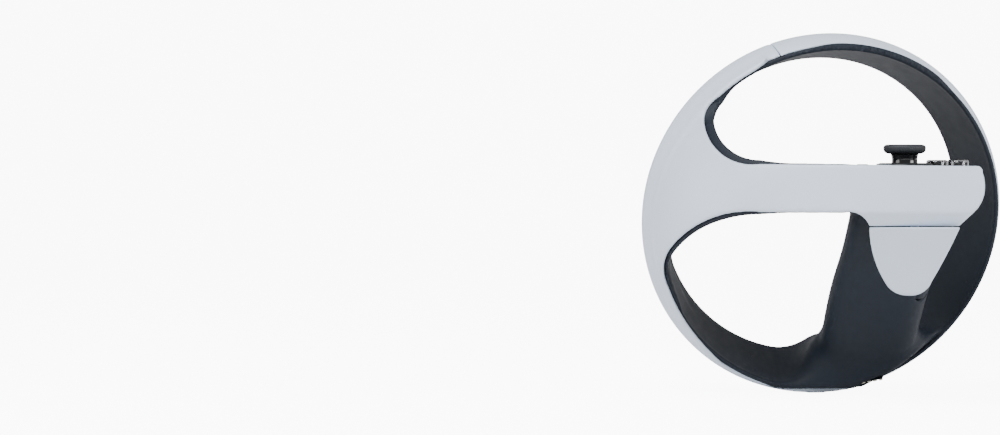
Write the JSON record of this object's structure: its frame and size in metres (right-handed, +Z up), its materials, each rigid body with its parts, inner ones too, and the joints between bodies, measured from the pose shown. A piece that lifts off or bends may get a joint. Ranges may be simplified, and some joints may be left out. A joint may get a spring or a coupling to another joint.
{
  "type": "vr motion controller",
  "caption": "Right-hand VR motion controller: an open orb ring joined to a thumb-stick head by a curved white front band, with a raked dark grip and a finger trigger.",
  "frame": {"origin": "centre of the round tracking ring", "axes": "+Z up with the grip held upright, -Y towards the front where the trigger faces, +X towards the action buttons"},
  "size_m": [0.1487, 0.1175, 0.1506],
  "materials": {
    "white_shell": "cool white moulded plastic with a satin surface",
    "dark_shell": "blue-black fine-textured matte plastic",
    "black_plastic": "black satin plastic",
    "rubber": "soft matte black rubber",
    "clear_button": "clear glossy cap over a black core",
    "steel": "plain pressed steel",
    "circuit_board": "green solder mask",
    "flex_film": "amber polyimide film",
    "led_resin": "dark infrared-pass resin",
    "lamp": "frosted light guide",
    "battery_wrap": "shrink-wrapped cell",
    "contacts": "pale gold plating"
  },
  "bodies": {
    "root": {"main_shell": "white_shell", "arch_shell": "white_shell", "ring_inner_shell": "dark_shell", "tracking_flex": "flex_film", "tracking_leds": "led_resin", "band_liner": "dark_shell", "head_tub": "dark_shell", "face_plate": "dark_shell", "stick_trim_ring": "black_plastic", "stick_case": "steel", "stick_switch": "steel", "button_membrane": "rubber", "button_board": "circuit_board", "trigger_pin": "steel", "trigger_bracket": "black_plastic", "trigger_spring": "steel", "force_feedback_motor": "steel", "grip_front_shell": "dark_shell", "grip_rear_shell": "dark_shell", "grip_chassis": "black_plastic", "battery": "battery_wrap", "main_board": "circuit_board", "haptic_actuator": "steel", "board_chips": "black_plastic", "grip_button_switch": "black_plastic", "touch_foil": "flex_film", "port_bezel": "black_plastic", "usb_socket": "steel", "charge_contacts": "contacts", "strap_anchor": "dark_shell", "chassis_screws": "steel", "status_lamp": "lamp", "antenna": "flex_film"},
    "stick_carriage": {"stick_carrier": "black_plastic"},
    "stick_gimbal": {"stick_yoke": "steel"},
    "stick": {"stick_cap": "rubber", "stick_shaft": "black_plastic", "stick_dome": "black_plastic"},
    "action_front": {"action_button_front": "clear_button"},
    "action_rear": {"action_button_rear": "clear_button"},
    "menu": {"menu_button": "clear_button"},
    "home": {"home_button": "black_plastic"},
    "trigger": {"trigger": "white_shell"},
    "grip_key": {"grip_button": "dark_shell"}
  },
  "joints": [
    {"name": "stick_click", "type": "slide", "parent": "root", "child": "stick_carriage", "axis": [0, 0, -1], "range_m": [0, 0.0004], "stiffness_N_per_m": 1500},
    {"name": "stick_pitch", "type": "hinge", "parent": "stick_carriage", "child": "stick_gimbal", "pos_m": [0.0333, -0.0482, 0.0135], "axis": [1, 0, 0], "range_deg": [-16, 16], "stiffness_Nm_per_rad": 0.02},
    {"name": "stick_roll", "type": "hinge", "parent": "stick_gimbal", "child": "stick", "pos_m": [0.0333, -0.0482, 0.0135], "axis": [0, 1, 0], "range_deg": [-16, 16], "stiffness_Nm_per_rad": 0.02},
    {"name": "action_front_press", "type": "slide", "parent": "root", "child": "action_front", "axis": [0, 0, -1], "range_m": [0, 0.001], "stiffness_N_per_m": 150},
    {"name": "action_rear_press", "type": "slide", "parent": "root", "child": "action_rear", "axis": [0, 0, -1], "range_m": [0, 0.001], "stiffness_N_per_m": 150},
    {"name": "menu_press", "type": "slide", "parent": "root", "child": "menu", "axis": [0, 0, -1], "range_m": [0, 0.0005], "stiffness_N_per_m": 150},
    {"name": "home_press", "type": "slide", "parent": "root", "child": "home", "axis": [0, 0, -1], "range_m": [0, 0.0003], "stiffness_N_per_m": 150},
    {"name": "trigger_pull", "type": "hinge", "parent": "root", "child": "trigger", "pos_m": [0.0368, -0.0601, 0.0064], "axis": [1, 0, 0], "range_deg": [0, 15], "stiffness_Nm_per_rad": 0.15},
    {"name": "grip_press", "type": "slide", "parent": "root", "child": "grip_key", "axis": [-0.9848, -0.1139, 0.1311], "range_m": [0, 0.001], "stiffness_N_per_m": 400}
  ]
}
